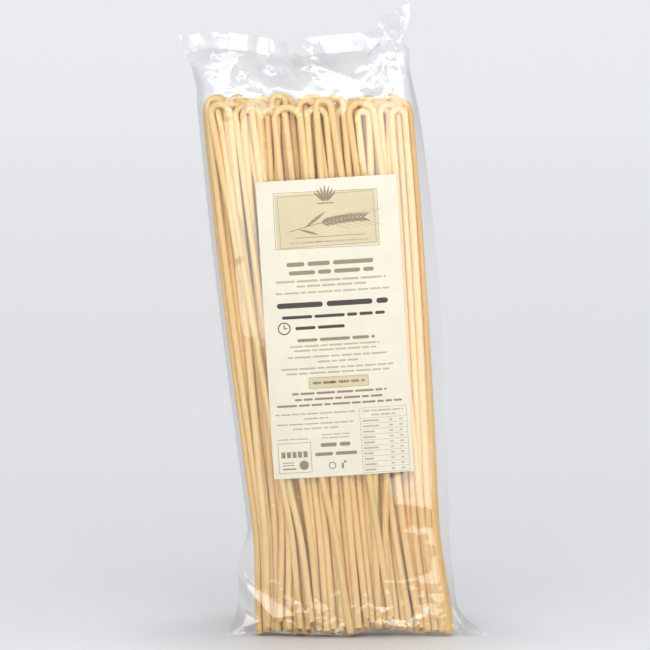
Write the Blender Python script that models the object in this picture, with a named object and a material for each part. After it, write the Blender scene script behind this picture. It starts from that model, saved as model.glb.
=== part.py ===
"""A clear bag of dry hairpin spaghetti with a paper label, standing on its foot.

The filled bag is one closed solid: a core with the outer form of the film, and the strands that show
fused on to it in relief. The label is a thin curved plate just clear of the strands.
Lengths are in metres, +Z is up, the front faces -Y, and the origin is on the floor under the middle.
"""

import math
import random

import bmesh
import bpy
from mathutils import Vector

# Dry strand, folded over its drying rod into a hairpin
STRAND_DIAMETER = 0.0032
HAIRPIN_WIDTH_MIN = 0.0080
HAIRPIN_WIDTH_MAX = 0.0125
STRAND_SIDES = 6
ARCH_STEPS = 6
LEG_STEPS = 3
TOP_VARIATION = 0.0060
REAR_RISE = 0.0020
REAR_INSET = 0.0008
FOOT_DRIFT = 0.0030
END_HEIGHT_MIN = 0.0015
END_HEIGHT_MAX = 0.0080
PLACE_VARIATION = 0.2

# Bundle of strands: half sizes at its foot, its waist and its shoulder
BUNDLE_HEIGHT = 0.2720
FOOT_HALF_WIDTH = 0.0500
WAIST_HALF_WIDTH = 0.0470
SHOULDER_HALF_WIDTH = 0.0530
FOOT_HALF_DEPTH = 0.0135
WAIST_HALF_DEPTH = 0.0125
SHOULDER_HALF_DEPTH = 0.0155
WAIST_HEIGHT = 0.055
BUNDLE_SQUARENESS = 3.0
CORE_INSET = 0.0013
LEAN = math.radians(5.1)

# Film that stands off the bundle
LEFT_SLACK = 0.0022
LEFT_FOOT_BULGE = 0.0058
LEFT_BULGE_HEIGHT = 0.055
LEFT_BULGE_FADE = 0.020
RIGHT_SLACK_LEAST = 0.0012
RIGHT_SLACK_EXTRA = 0.0050
RIGHT_SLACK_TOP = 0.2685
RIGHT_SLACK_FULLNESS = 0.7
FOOT_CORNER_LEFT = 0.0080
FOOT_CORNER_RIGHT = 0.0158
FOOT_CORNER_HEIGHT = 0.018
WING_SHARE = 0.55

# Empty head of the bag, up to the crimped seal
HEAD_START = 0.2635
SEAL_HEIGHT_LEFT = 0.3015
SEAL_HEIGHT_DIP = 0.2980
SEAL_CORNER_RIGHT = 0.3175
SEAL_CORNER_WIDTH = 0.018
HEAD_LEFT_REACH = 0.0888
HEAD_RIGHT_REACH = 0.0272
HEAD_LEFT_CURVE = 1.3
HEAD_CLOSING = 0.9
SEAL_HALF_THICKNESS = 0.0006
SEAL_SHARE = 0.24
HEAD_WAVE = 0.0025
HEAD_WAVE_LENGTH = 0.047
HEAD_CRUMPLE = 0.0016
FRONT_FOLD_LENGTH = 0.017
FRONT_FOLD_SLANT = 1.7
BACK_FOLD_LENGTH = 0.021
BACK_FOLD_SLANT = -1.3

# Paper label
LABEL_WIDTH = 0.0700
LABEL_HEIGHT = 0.1500
LABEL_THICKNESS = 0.0004
LABEL_CENTRE_HEIGHT = 0.1560
LABEL_SHIFT = 0.0037
LABEL_TURN = math.radians(3.5)
LABEL_COLUMNS = 10
LABEL_ROWS = 8
GAP = 0.0006

# Mesh and layout
SECTION_STEPS = 18
BODY_LEVELS = (0.0, 0.003, 0.008, 0.018, 0.036, 0.060, 0.110, 0.165, 0.215, 0.245, HEAD_START)
HEAD_LEVELS = (0.20, 0.40, 0.60, 0.76, 0.80, 1.0)
HAIRPIN_COUNT = 36
SEED = 6
WELD = 0.00003

STRAND_RADIUS = STRAND_DIAMETER / 2


def mix(a, b, share):
    return a + (b - a) * share


def eased(share):
    share = min(max(share, 0.0), 1.0)
    return share * share * (3 - 2 * share)


def centre_x(z):
    """The bundle's middle line, which leans to the left."""
    return -math.tan(LEAN) * z


def between_waist(z, foot, waist, shoulder):
    """A half size that narrows from the foot to the waist and widens to the shoulder."""
    if z < WAIST_HEIGHT:
        return mix(foot, waist, eased(z / WAIST_HEIGHT))
    share = min((z - WAIST_HEIGHT) / (BUNDLE_HEIGHT - WAIST_HEIGHT), 1.0)
    return mix(waist, shoulder, math.sin(share * math.pi / 2))


def half_width(z):
    return between_waist(z, FOOT_HALF_WIDTH, WAIST_HALF_WIDTH, SHOULDER_HALF_WIDTH)


def half_depth(z):
    return between_waist(z, FOOT_HALF_DEPTH, WAIST_HALF_DEPTH, SHOULDER_HALF_DEPTH)


def rounded(share):
    """Height of a superellipse of unit half sizes at this share of its half width."""
    return max(1 - abs(share) ** BUNDLE_SQUARENESS, 0.0) ** (1 / BUNDLE_SQUARENESS)


def foot_corner(z, reach):
    """The film's flat corner that lies on the floor beside the foot."""
    return reach * max(1 - z / FOOT_CORNER_HEIGHT, 0.0) ** 2


def left_edge(z):
    bulge = LEFT_FOOT_BULGE * eased((LEFT_BULGE_HEIGHT - z) / LEFT_BULGE_FADE)
    slack = LEFT_SLACK + bulge + foot_corner(z, FOOT_CORNER_LEFT)
    return centre_x(z) - half_width(z) - slack


def right_edge(z):
    share = min(z / RIGHT_SLACK_TOP, 1.0)
    billow = RIGHT_SLACK_EXTRA * max(math.sin(math.pi * share), 0.0) ** RIGHT_SLACK_FULLNESS
    slack = RIGHT_SLACK_LEAST + billow + foot_corner(z, FOOT_CORNER_RIGHT)
    return centre_x(z) + half_width(z) + slack


def seal_height(x):
    """Height of the bag's top edge, which dips in the middle and turns up at its right corner."""
    along = (x + HEAD_LEFT_REACH) / (HEAD_RIGHT_REACH + HEAD_LEFT_REACH)
    dip = math.sin(math.pi * min(max(along, 0.0), 1.0)) ** 2
    corner = eased((x - HEAD_RIGHT_REACH + SEAL_CORNER_WIDTH) / SEAL_CORNER_WIDTH)
    flat = mix(SEAL_HEIGHT_LEFT, SEAL_HEIGHT_DIP, dip)
    return mix(flat, SEAL_CORNER_RIGHT, corner)


def fold(t):
    """A triangle wave from -1 to 1 with sharp turns, as creased film has."""
    return 4 * abs(t - math.floor(t + 0.5)) - 1


def section_x(left, right, step):
    """Places across a section, closer together near both edges."""
    return mix(left, right, 0.5 - 0.5 * math.cos(math.pi * step / SECTION_STEPS))


def body_section(z):
    """Front and back points of the core at height z, from the left edge to the right one."""
    left, right, middle = left_edge(z), right_edge(z), centre_x(z)
    wide, deep = half_width(z) - CORE_INSET, half_depth(z) - CORE_INSET
    front, back = [], []
    for step in range(SECTION_STEPS + 1):
        x = section_x(left, right, step)
        bundle = deep * rounded((x - middle) / wide)
        reach = right - middle if x > middle else middle - left
        wing = WING_SHARE * half_depth(z) * (1 - abs(x - middle) / reach)
        depth = max(bundle, wing)
        front.append(Vector((x, -depth, z)))
        back.append(Vector((x, depth, z)))
    return front, back


def head_section(share):
    """The same at a share of the way from the shoulder to the top edge, where the film narrows."""
    left = mix(left_edge(HEAD_START), -HEAD_LEFT_REACH, share**HEAD_LEFT_CURVE)
    right = mix(right_edge(HEAD_START), HEAD_RIGHT_REACH, share)
    middle = (left + right) / 2
    closed = min(share / (1 - SEAL_SHARE), 1.0)
    body = (half_depth(HEAD_START) - STRAND_RADIUS) * (1 - closed) ** HEAD_CLOSING
    wave_height = HEAD_WAVE * share
    front, back = [], []
    for step in range(SECTION_STEPS + 1):
        x = section_x(left, right, step)
        across = (x - middle) / ((right - left) / 2)
        z = mix(HEAD_START, seal_height(x), share)
        swell = body * rounded(across)
        crumple = HEAD_CRUMPLE * share * (1 - across * across)
        seal = SEAL_HALF_THICKNESS * (1 - across**8)
        wave = wave_height * math.sin(2 * math.pi * (x - left) / HEAD_WAVE_LENGTH) * (1 - across**4)
        near, far = seal, seal
        if swell > HEAD_CRUMPLE:
            near = max(swell + crumple * fold(x / FRONT_FOLD_LENGTH + FRONT_FOLD_SLANT * share), seal)
            far = max(swell + crumple * fold(x / BACK_FOLD_LENGTH + BACK_FOLD_SLANT * share), seal)
        front.append(Vector((x, wave - near, z)))
        back.append(Vector((x, wave + far, z)))
    return front, back


def loft(name, sections, materials, slot_of_face):
    """A closed mesh through sections, each a row of front points and a row of back points."""
    mesh = bpy.data.meshes.new(name)
    bm = bmesh.new()
    rings = []
    for front, back in sections:
        ends = [bm.verts.new(front[0]), bm.verts.new(front[-1])]
        near = [bm.verts.new(p) for p in front[1:-1]]
        far = [bm.verts.new(p) for p in back[1:-1]]
        rings.append([ends[0], *near, ends[1], *reversed(far)])
    count = len(rings[0])
    for low, high in zip(rings, rings[1:]):
        for i in range(count):
            j = (i + 1) % count
            bm.faces.new((low[i], low[j], high[j], high[i]))
    half = count // 2
    for ring, turned in ((rings[0], True), (rings[-1], False)):
        for i in range(half):
            face = [ring[i], ring[i + 1], ring[(count - i - 1) % count], ring[(count - i) % count]]
            corners = list(dict.fromkeys(face))
            bm.faces.new(reversed(corners) if turned else corners)
    bmesh.ops.recalc_face_normals(bm, faces=bm.faces)
    for face in bm.faces:
        face.material_index = slot_of_face(face)
    bm.to_mesh(mesh)
    bm.free()
    for material in materials:
        mesh.materials.append(material)
    made = bpy.data.objects.new(name, mesh)
    bpy.context.scene.collection.objects.link(made)
    return made


def tube(name, path, radius, sides, materials):
    """A closed round tube along a path, with flat ends."""
    mesh = bpy.data.meshes.new(name)
    bm = bmesh.new()
    rings = []
    along = (path[1] - path[0]).normalized()
    side = along.orthogonal().normalized()
    for i, point in enumerate(path):
        ahead = path[min(i + 1, len(path) - 1)] - path[max(i - 1, 0)]
        turn = along.rotation_difference(ahead.normalized())
        side = turn @ side
        along = ahead.normalized()
        other = along.cross(side)
        ring = []
        for k in range(sides):
            angle = 2 * math.pi * k / sides
            outward = math.cos(angle) * side + math.sin(angle) * other
            ring.append(bm.verts.new(point + radius * outward))
        rings.append(ring)
    for low, high in zip(rings, rings[1:]):
        for k in range(sides):
            n = (k + 1) % sides
            bm.faces.new((low[k], low[n], high[n], high[k]))
    bm.faces.new(reversed(rings[0]))
    bm.faces.new(rings[-1])
    bmesh.ops.recalc_face_normals(bm, faces=bm.faces)
    bm.to_mesh(mesh)
    bm.free()
    for material in materials:
        mesh.materials.append(material)
    return bpy.data.objects.new(name, mesh)


def rim_table(steps=720):
    """Directions round the bundle's section, evenly spaced along its outline at shoulder height."""
    wide, deep = SHOULDER_HALF_WIDTH - STRAND_RADIUS, SHOULDER_HALF_DEPTH - STRAND_RADIUS
    power = 2 / BUNDLE_SQUARENESS
    points = []
    for i in range(steps + 1):
        angle = 2 * math.pi * i / steps
        c, s = math.cos(angle), math.sin(angle)
        points.append((math.copysign(abs(c) ** power, c), math.copysign(abs(s) ** power, s)))
    lengths = [0.0]
    for (x0, y0), (x1, y1) in zip(points, points[1:]):
        lengths.append(lengths[-1] + math.hypot((x1 - x0) * wide, (y1 - y0) * deep))
    return points, lengths


RIM_POINTS, RIM_LENGTHS = rim_table()
RIM = RIM_LENGTHS[-1]


def rim_point(distance, z, depth_in):
    """Centre of a strand at this distance round the bundle's rim, at height z, set in by depth_in."""
    distance %= RIM
    low, high = 0, len(RIM_LENGTHS) - 1
    while high - low > 1:
        middle = (low + high) // 2
        if RIM_LENGTHS[middle] > distance:
            high = middle
        else:
            low = middle
    share = (distance - RIM_LENGTHS[low]) / (RIM_LENGTHS[high] - RIM_LENGTHS[low])
    x = mix(RIM_POINTS[low][0], RIM_POINTS[high][0], share)
    y = mix(RIM_POINTS[low][1], RIM_POINTS[high][1], share)
    wide = half_width(z) - STRAND_RADIUS - depth_in
    deep = half_depth(z) - STRAND_RADIUS - depth_in
    return Vector((centre_x(z) + x * wide, y * deep, z))


def hairpin_path(place, width, top, depth_in, drifts, ends):
    """Up one leg, over the arch and down the other leg."""
    spring = top - STRAND_RADIUS - width / 2
    points = []
    for step in range(LEG_STEPS):
        share = step / LEG_STEPS
        z = mix(ends[0], spring, share)
        points.append(rim_point(place - width / 2 + drifts[0] * (1 - share), z, depth_in))
    for step in range(ARCH_STEPS + 1):
        angle = math.pi * step / ARCH_STEPS
        z = spring + width / 2 * math.sin(angle)
        points.append(rim_point(place - width / 2 * math.cos(angle), z, depth_in))
    for step in range(LEG_STEPS):
        share = (step + 1) / LEG_STEPS
        z = mix(spring, ends[1], share)
        points.append(rim_point(place + width / 2 + drifts[1] * share, z, depth_in))
    return points


def add_hairpins(collection, materials):
    """Hairpins spread evenly round the rim, each second one set in and higher than its neighbours."""
    draw = random.Random(SEED)
    pitch = RIM / HAIRPIN_COUNT
    for i in range(HAIRPIN_COUNT):
        rear = i % 2
        width = draw.uniform(HAIRPIN_WIDTH_MIN, HAIRPIN_WIDTH_MAX)
        top = BUNDLE_HEIGHT - draw.uniform(0.0, TOP_VARIATION) - REAR_RISE * (1 - rear)
        drifts = [draw.uniform(-FOOT_DRIFT, FOOT_DRIFT) for _ in range(2)]
        ends = [draw.uniform(END_HEIGHT_MIN, END_HEIGHT_MAX) for _ in range(2)]
        place = pitch * (i + draw.uniform(-PLACE_VARIATION, PLACE_VARIATION))
        path = hairpin_path(place, width, top, REAR_INSET * rear, drifts, ends)
        collection.objects.link(tube(f"hairpin_{i}", path, STRAND_RADIUS, STRAND_SIDES, materials))


def keep_outer_shell(mesh):
    """Drops loose scraps and the inner skins of sealed hollows, so that one closed body is left."""
    bm = bmesh.new()
    bm.from_mesh(mesh)
    bmesh.ops.triangulate(bm, faces=bm.faces)
    bmesh.ops.remove_doubles(bm, verts=bm.verts, dist=WELD)
    bmesh.ops.dissolve_degenerate(bm, edges=bm.edges, dist=WELD / 10)
    left = set(bm.faces)
    shells = []
    while left:
        shell, edge = set(), [left.pop()]
        while edge:
            face = edge.pop()
            shell.add(face)
            beside = {f for e in face.edges if len(e.link_faces) == 2 for f in e.link_faces}
            for joined in beside & left:
                left.discard(joined)
                edge.append(joined)
        shells.append(shell)
    outer = max(shells, key=len)
    bmesh.ops.delete(bm, geom=[f for f in bm.faces if f not in outer], context="FACES")
    bm.to_mesh(mesh)
    bm.free()


def make_filled_bag(pasta, film):
    """The film's outer form as a core, with the hairpins that show joined on by one Boolean union."""
    materials = (pasta, film)

    def slot_of_face(face):
        centre = face.calc_center_median()
        beside = abs(centre.x - centre_x(centre.z)) > half_width(centre.z) - STRAND_RADIUS
        return 1 if centre.z > HEAD_START or beside else 0

    sections = [body_section(z) for z in BODY_LEVELS] + [head_section(s) for s in HEAD_LEVELS]
    bag = loft("filled_bag", sections, materials, slot_of_face)
    strands = bpy.data.collections.new("strands")
    add_hairpins(strands, materials)
    join = bag.modifiers.new("join_strands", "BOOLEAN")
    join.operation = "UNION"
    join.operand_type = "COLLECTION"
    join.collection = strands
    join.solver = "MANIFOLD"
    joined = bpy.data.meshes.new_from_object(bag.evaluated_get(bpy.context.evaluated_depsgraph_get()))
    bag.modifiers.clear()
    bag.data = joined
    keep_outer_shell(joined)
    for strand in list(strands.objects):
        bpy.data.objects.remove(strand)
    bpy.data.collections.remove(strands)
    joined.shade_smooth()
    joined.set_sharp_from_angle(angle=math.radians(50))
    return bag


def label_point(across, up, lift):
    """A point of the label's face, lift clear of the bundle's front."""
    u = (across - 0.5) * LABEL_WIDTH
    v = (up - 0.5) * LABEL_HEIGHT
    middle = centre_x(LABEL_CENTRE_HEIGHT) + LABEL_SHIFT
    x = middle + u * math.cos(LABEL_TURN) - v * math.sin(LABEL_TURN)
    z = LABEL_CENTRE_HEIGHT + u * math.sin(LABEL_TURN) + v * math.cos(LABEL_TURN)
    front = -half_depth(z) * rounded((x - centre_x(z)) / half_width(z))
    return Vector((x, front - lift, z))


def make_label(paper):
    """A thin plate that curves with the bundle's front."""
    mesh = bpy.data.meshes.new("label")
    bm = bmesh.new()
    sides = []
    for lift in (GAP, GAP + LABEL_THICKNESS):
        side = []
        for row in range(LABEL_ROWS + 1):
            places = [(c / LABEL_COLUMNS, row / LABEL_ROWS) for c in range(LABEL_COLUMNS + 1)]
            side.append([bm.verts.new(label_point(*place, lift)) for place in places])
        sides.append(side)
    for side in sides:
        for low, high in zip(side, side[1:]):
            for c in range(LABEL_COLUMNS):
                bm.faces.new((low[c], low[c + 1], high[c + 1], high[c]))
    rims = []
    for side in sides:
        left = [row[0] for row in side]
        right = [row[-1] for row in side]
        rims.append(side[0] + right[1:] + side[-1][-2::-1] + left[-2:0:-1])
    for i in range(len(rims[0])):
        j = (i + 1) % len(rims[0])
        bm.faces.new((rims[0][i], rims[0][j], rims[1][j], rims[1][i]))
    bmesh.ops.recalc_face_normals(bm, faces=bm.faces)
    bm.to_mesh(mesh)
    bm.free()
    mesh.materials.append(paper)
    label = bpy.data.objects.new("label", mesh)
    bpy.context.scene.collection.objects.link(label)
    return label


def make_material(name, colour, roughness, alpha=1.0):
    material = bpy.data.materials.new(name)
    material.use_nodes = True
    shader = material.node_tree.nodes["Principled BSDF"]
    shader.inputs["Base Color"].default_value = (*colour, 1.0)
    shader.inputs["Roughness"].default_value = roughness
    shader.inputs["Metallic"].default_value = 0.0
    shader.inputs["Alpha"].default_value = alpha
    return material


def stand_over_origin(parts):
    """Moves the meshes so that the middle of the whole pack's box is over the origin."""
    corners = [v.co for part in parts for v in part.data.vertices]
    for axis in (0, 1):
        low, high = min(c[axis] for c in corners), max(c[axis] for c in corners)
        for part in parts:
            for vertex in part.data.vertices:
                vertex.co[axis] -= (low + high) / 2


def main():
    for old in list(bpy.data.objects):
        bpy.data.objects.remove(old)
    pasta = make_material("dry pasta", (0.80, 0.58, 0.30), 0.65)
    film = make_material("clear film", (0.90, 0.91, 0.93), 0.12, 0.4)
    paper = make_material("label paper", (0.87, 0.82, 0.66), 0.7)
    parts = [make_filled_bag(pasta, film), make_label(paper)]
    stand_over_origin(parts)


main()
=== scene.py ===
"""Looks of a clear bag of dry hairpin spaghetti: loose strands, clear film and a printed paper label.

Lengths are in metres. Places across the pack are measured from the middle of its foot, and SHIFT
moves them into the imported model's frame.
"""

import math

import bpy
import numpy as np
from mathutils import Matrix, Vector


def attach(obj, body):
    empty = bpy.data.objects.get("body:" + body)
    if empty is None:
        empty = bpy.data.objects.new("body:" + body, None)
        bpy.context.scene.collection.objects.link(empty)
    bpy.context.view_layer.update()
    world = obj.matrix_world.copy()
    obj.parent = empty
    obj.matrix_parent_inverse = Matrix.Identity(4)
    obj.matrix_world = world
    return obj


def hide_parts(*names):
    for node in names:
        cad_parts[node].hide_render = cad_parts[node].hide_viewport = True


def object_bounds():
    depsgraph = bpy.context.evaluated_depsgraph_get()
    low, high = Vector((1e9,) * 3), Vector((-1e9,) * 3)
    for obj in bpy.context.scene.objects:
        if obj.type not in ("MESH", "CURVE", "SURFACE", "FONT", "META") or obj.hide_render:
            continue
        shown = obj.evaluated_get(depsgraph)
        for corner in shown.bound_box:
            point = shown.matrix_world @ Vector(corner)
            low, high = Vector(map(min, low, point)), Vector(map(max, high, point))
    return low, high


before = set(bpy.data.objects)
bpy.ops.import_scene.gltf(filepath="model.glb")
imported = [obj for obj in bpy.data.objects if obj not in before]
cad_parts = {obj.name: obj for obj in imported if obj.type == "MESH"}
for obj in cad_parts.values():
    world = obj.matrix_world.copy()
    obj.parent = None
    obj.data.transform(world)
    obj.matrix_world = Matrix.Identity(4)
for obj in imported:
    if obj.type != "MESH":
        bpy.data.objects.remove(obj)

CAD_BOX = [list(corner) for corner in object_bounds()]

# Photograph: the real size of one pixel at the pack, and the middle of the pack's foot in pixels
PIXEL = 0.0005
FOOT_PIXEL_X = 355.6
FOOT_PIXEL_Y = 637.0

# Bundle of strands, as in the solid
STRAND_RADIUS = 0.0016
BUNDLE_HEIGHT = 0.2720
FOOT_HALF_WIDTH = 0.0500
WAIST_HALF_WIDTH = 0.0470
SHOULDER_HALF_WIDTH = 0.0530
FOOT_HALF_DEPTH = 0.0135
WAIST_HALF_DEPTH = 0.0125
SHOULDER_HALF_DEPTH = 0.0155
WAIST_HEIGHT = 0.055
BUNDLE_SQUARENESS = 3.0
LEAN = math.radians(5.1)

# Film that stands off the bundle, as in the solid
LEFT_SLACK = 0.0022
LEFT_FOOT_BULGE = 0.0058
LEFT_BULGE_HEIGHT = 0.055
LEFT_BULGE_FADE = 0.020
RIGHT_SLACK_LEAST = 0.0012
RIGHT_SLACK_EXTRA = 0.0050
RIGHT_SLACK_TOP = 0.2685
RIGHT_SLACK_FULLNESS = 0.7
FOOT_CORNER_LEFT = 0.0080
FOOT_CORNER_RIGHT = 0.0158
FOOT_CORNER_HEIGHT = 0.018
HEAD_LEFT_REACH = 0.0888

# Label, as in the solid
LABEL_WIDTH = 0.0700
LABEL_HEIGHT = 0.1500
LABEL_CENTRE_HEIGHT = 0.1560
LABEL_SHIFT = 0.0037
LABEL_TURN = math.radians(3.5)

SHIFT = CAD_BOX[0][0] + HEAD_LEFT_REACH
SEED = 11
FILM_SEED = 5


def photo_x(pixel):
    return (pixel - FOOT_PIXEL_X) * PIXEL


def photo_z(pixel):
    return (FOOT_PIXEL_Y - pixel) * PIXEL


def mix(a, b, share):
    return a + (b - a) * share


def eased(share):
    share = np.clip(share, 0.0, 1.0)
    return share * share * (3 - 2 * share)


def centre_x(z):
    """The bundle's middle line, which leans to the left."""
    return -math.tan(LEAN) * z


def between_waist(z, foot, waist, shoulder):
    """A half size that narrows from the foot to the waist and widens to the shoulder."""
    low = mix(foot, waist, eased(z / WAIST_HEIGHT))
    share = np.clip((z - WAIST_HEIGHT) / (BUNDLE_HEIGHT - WAIST_HEIGHT), 0.0, 1.0)
    high = mix(waist, shoulder, np.sin(share * math.pi / 2))
    return np.where(z < WAIST_HEIGHT, low, high)


def half_width(z):
    return between_waist(z, FOOT_HALF_WIDTH, WAIST_HALF_WIDTH, SHOULDER_HALF_WIDTH)


def half_depth(z):
    return between_waist(z, FOOT_HALF_DEPTH, WAIST_HALF_DEPTH, SHOULDER_HALF_DEPTH)


def length_along(line):
    """Length along a line of points up to each of them."""
    return np.concatenate([[0.0], np.cumsum(np.linalg.norm(np.diff(line, axis=0), axis=1))])


def rounded(share):
    """Height of a superellipse of unit half sizes at this share of its half width."""
    return np.maximum(1 - np.abs(share) ** BUNDLE_SQUARENESS, 0.0) ** (1 / BUNDLE_SQUARENESS)


def foot_corner(z, reach):
    return reach * np.maximum(1 - z / FOOT_CORNER_HEIGHT, 0.0) ** 2


def left_edge(z):
    bulge = LEFT_FOOT_BULGE * eased((LEFT_BULGE_HEIGHT - z) / LEFT_BULGE_FADE)
    return centre_x(z) - half_width(z) - LEFT_SLACK - bulge - foot_corner(z, FOOT_CORNER_LEFT)


def right_edge(z):
    share = np.clip(z / RIGHT_SLACK_TOP, 0.0, 1.0)
    billow = RIGHT_SLACK_EXTRA * np.maximum(np.sin(math.pi * share), 0.0) ** RIGHT_SLACK_FULLNESS
    slack = RIGHT_SLACK_LEAST + billow + foot_corner(z, FOOT_CORNER_RIGHT)
    return centre_x(z) + half_width(z) + slack


def piece(name, points, faces, material, smooth=True):
    """A mesh piece of the pack, from points measured from the middle of the pack's foot."""
    mesh = bpy.data.meshes.new(name)
    placed = np.array(points, dtype=float)
    placed[:, 0] += SHIFT
    mesh.from_pydata(placed.tolist(), [], faces)
    mesh.materials.append(material)
    mesh.polygons.foreach_set("use_smooth", [smooth] * len(mesh.polygons))
    mesh.update()
    made = bpy.data.objects.new(name, mesh)
    bpy.context.scene.collection.objects.link(made)
    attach(made, "root")
    return made


# Strands

# Hairpins that show at the front, in the photograph's pixels: outer left edge, outer right edge and top of
# the arch, and the row of hairpins that each stands in, counted from the front
FRONT_HAIRPINS = (
    (208, 233, 99, 0),
    (234, 256, 103, 0),
    (253, 276, 106, 1),
    (271, 303, 102, 0),
    (268, 288, 91, 2),
    (293, 316, 95, 1),
    (312.5, 334, 94.5, 0),
    (325, 346, 93, 1),
    (344, 375.5, 97, 0),
    (356, 374, 106, 1),
    (370, 393, 98, 2),
    (388, 408, 104, 0),
    (400, 420, 106, 1),
)
ROWS = 8
ROW_PITCH = 0.0033
ROW_ENDS = 0.0017
ROW_POINTS = 700
ROW_SPACE = 0.0006
OUTER_ROWS = 2
MIDDLE_SPACE = 0.0380
WIDTH_LEAST = 0.0066
WIDTH_MOST = 0.0106
TOP_VARIATION = 0.0065
TURN_MOST = math.radians(14)
OUTER_TURN = 0.3

# Drift of the legs towards their ends: of most legs, of stray ones and of those that cross others
FOOT_DRIFT = (0.0050, 0.0016)
DRIFT_LATENESS = 2.6
STRAY_DRIFT = (0.0040, 0.0110)
STRAY_SHARE = 0.20
CROSSING_DRIFT = (0.0120, 0.0300)
CROSSING_LATENESS = 1.8
CROSSING_SHARE = 0.45
CROSSING_LEVEL = 0.200
CROSSING_DEPTH = 0.0030
CROSSING_ORDERS = (2, 5)
TURN_BACK = 0.70
FLAT_SHARE = 0.88

EXTRA_HAIRPINS = 17
EXTRA_ROWS = (1, 1, 2, 2, 3, 4, 5, 6)
OUTER_SHARE = 0.50
OUTER_END_HEIGHTS = (0.0026, 0.0082)
INNER_END_HEIGHTS = (0.0006, 0.0020)
END_SKEW = 1.6
LOW_LEVELS = np.linspace(0.0, 0.2495, 24)
TOP_LEVELS = np.arange(0.2525, BUNDLE_HEIGHT, 0.0015)
SPRING_REFERENCE = 0.2595
RELAX_ROUNDS = 170
RELAX_STEP = 2.0
RELAX_TURN = 0.05
BEND_RESISTANCE = (0.0, 0.05, 0.20)
THICKNESS = (1.00, 1.11)
UNEVENNESS = 0.02
UNEVEN_PLACES = 12
STRAND_SHARP = math.radians(60)
TUBE_SIDES = 12
LEG_RINGS = 28
ARCH_RINGS = 14


def row_line(row):
    """A row of hairpins seen from above: it follows the bundle's outline at its own depth inside it."""
    wide = float(half_width(SPRING_REFERENCE)) - STRAND_RADIUS
    deep = float(half_depth(SPRING_REFERENCE)) - STRAND_RADIUS
    x = np.linspace(-wide, wide, ROW_POINTS)
    if row == ROWS:
        return np.column_stack([x, 0 * x])[np.abs(x) < MIDDLE_SPACE]
    inner = min(row, ROWS - 1 - row)
    inside = deep * rounded(x / wide) - inner * ROW_PITCH
    there = (inside > ROW_ENDS) | (row == 0)
    side = -1 if row < ROWS / 2 else 1
    return np.column_stack([x, side * inside])[there]


def at_row(line, length, place):
    return [np.interp(place, length, line[:, k]) for k in range(2)]


def arch_height(draw):
    return BUNDLE_HEIGHT - STRAND_RADIUS - draw.random() * TOP_VARIATION


def all_hairpins(draw):
    """Both leg tops and the arch's height of each hairpin, and its row.

    The measured hairpins come first, then as many as each row has room for, and then the extra ones.
    """
    made = []
    for row in range(ROWS + 1):
        line = row_line(row)
        length = length_along(line)
        taken = []
        for left, right, top, front_row in FRONT_HAIRPINS:
            if front_row == row:
                height = photo_z(top) - STRAND_RADIUS
                legs = [photo_x(side) - centre_x(height) for side in (left, right)]
                legs = legs[0] + STRAND_RADIUS, legs[1] - STRAND_RADIUS
                taken.append((*np.interp(legs, line[:, 0], length), height))
        place = draw.random() * STRAND_RADIUS
        while place < length[-1] - WIDTH_LEAST:
            width = draw.uniform(WIDTH_LEAST, WIDTH_MOST)
            room = 2 * STRAND_RADIUS
            clash = [t for t in taken if t[0] - room < place + width and t[1] + room > place]
            if clash:
                place = clash[0][1] + room
                continue
            if place + width > length[-1]:
                break
            taken.append((place, place + width, arch_height(draw)))
            place += width + room + draw.random() * ROW_SPACE
        made += [(*at_row(line, length, t[0]), *at_row(line, length, t[1]), t[2], row) for t in taken]
    for _ in range(EXTRA_HAIRPINS):
        row = int(draw.choice(EXTRA_ROWS))
        line = row_line(row)
        length = length_along(line)
        width = draw.uniform(WIDTH_LEAST, WIDTH_MOST)
        place = draw.random() * (length[-1] - width)
        legs = (*at_row(line, length, place), *at_row(line, length, place + width))
        made.append((*legs, arch_height(draw), row))
    return made


def narrowing(z):
    """How much narrower and thinner the bundle is than at its shoulder."""
    wide = (half_width(z) - STRAND_RADIUS) / (half_width(SPRING_REFERENCE) - STRAND_RADIUS)
    deep = (half_depth(z) - STRAND_RADIUS) / (half_depth(SPRING_REFERENCE) - STRAND_RADIUS)
    return np.stack([wide, deep], axis=-1)


def push_apart(points, order=None):
    """How far each disc on each level moves to clear the discs it overlaps.

    On the low levels, discs of legs that differ in order pass one behind the other.
    """
    gap = points[:, :, None] - points[:, None]
    distance = np.sqrt((gap**2).sum(-1)) + 1e-9
    overlap = np.clip(2 * STRAND_RADIUS - distance, 0.0, None)
    same = np.arange(points.shape[1])
    overlap[:, same, same] = 0.0
    push = gap * (overlap / distance)[..., None]
    if order is not None:
        behind = np.sign(order[:, None] - order)
        passing = (LOW_LEVELS < CROSSING_LEVEL)[:, None, None] & (behind != 0)
        need = np.sqrt(np.clip((2 * STRAND_RADIUS) ** 2 - gap[..., 0] ** 2, 0.0, None))
        lack = behind * np.clip(need - behind * gap[..., 1], 0.0, None) * (need > 0)
        push[..., 0] = np.where(passing, 0.0, push[..., 0])
        push[..., 1] = np.where(passing, lack, push[..., 1])
    return push.sum(2) * 0.5


def hold_in(points, levels):
    """Points moved to within the bundle's outline on their level."""
    wide = (half_width(levels) - STRAND_RADIUS)[:, None]
    deep = (half_depth(levels) - STRAND_RADIUS)[:, None]
    across = points[..., 0] / wide
    size = np.abs(across) ** BUNDLE_SQUARENESS + np.abs(points[..., 1] / deep) ** BUNDLE_SQUARENESS
    held = points / np.maximum(size, 1.0)[..., None] ** (1 / BUNDLE_SQUARENESS)
    limit = deep * rounded(across)
    flat = np.stack([points[..., 0], np.clip(points[..., 1], -limit, limit)], axis=-1)
    return np.where((np.abs(across) < FLAT_SHARE)[..., None], flat, held)


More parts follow.
